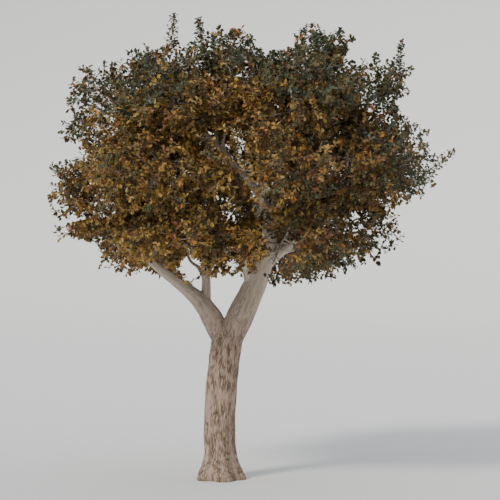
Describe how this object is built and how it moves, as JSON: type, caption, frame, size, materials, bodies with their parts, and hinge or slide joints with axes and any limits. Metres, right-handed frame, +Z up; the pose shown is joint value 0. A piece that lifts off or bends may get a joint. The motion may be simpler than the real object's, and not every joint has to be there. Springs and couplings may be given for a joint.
{
  "type": "oak tree",
  "caption": "Whole broad-crowned oak in autumn leaf: a short flared trunk forks low into two limbs whose boughs carry masses of russet-brown leaves.",
  "frame": {"origin": "middle of the flat cut under the trunk, at ground level", "axes": "+Z up, +X along the crown's broad side to the viewer's right, +Y away from the viewer"},
  "size_m": [10.4835, 9.2208, 12.0031],
  "materials": {
    "bark": "rough, fissured grey-brown bark",
    "leaves": "dry autumn leaves in rust, tan, brown and olive"
  },
  "bodies": {
    "root": {"bough_back": "bark", "bough_front": "bark", "bough_high_2": "bark", "bough_high_3": "bark", "bough_high_4": "bark", "bough_high_5": "bark", "bough_high_6": "bark", "bough_low_2": "bark", "bough_low_3": "bark", "bough_low_4": "bark", "bough_low_5": "bark", "bough_low_6": "bark", "bough_mid_1": "bark", "bough_mid_2": "bark", "bough_mid_5": "bark", "bough_mid_7": "bark", "bough_right": "bark", "bough_top_2": "bark", "bough_top_3": "bark", "bough_top_4": "bark", "bough_upright": "bark", "leaves_high_1": "leaves", "leaves_high_2": "leaves", "leaves_high_3": "leaves", "leaves_high_4": "leaves", "leaves_high_5": "leaves", "leaves_high_6": "leaves", "leaves_low_1": "leaves", "leaves_low_2": "leaves", "leaves_low_3": "leaves", "leaves_low_4": "leaves", "leaves_low_5": "leaves", "leaves_low_6": "leaves", "leaves_mid_1": "leaves", "leaves_mid_2": "leaves", "leaves_mid_3": "leaves", "leaves_mid_4": "leaves", "leaves_mid_5": "leaves", "leaves_mid_6": "leaves", "leaves_mid_7": "leaves", "leaves_top_1": "leaves", "leaves_top_2": "leaves", "leaves_top_3": "leaves", "leaves_top_4": "leaves", "limb_left": "bark", "limb_right": "bark", "trunk": "bark"}
  },
  "joints": []
}
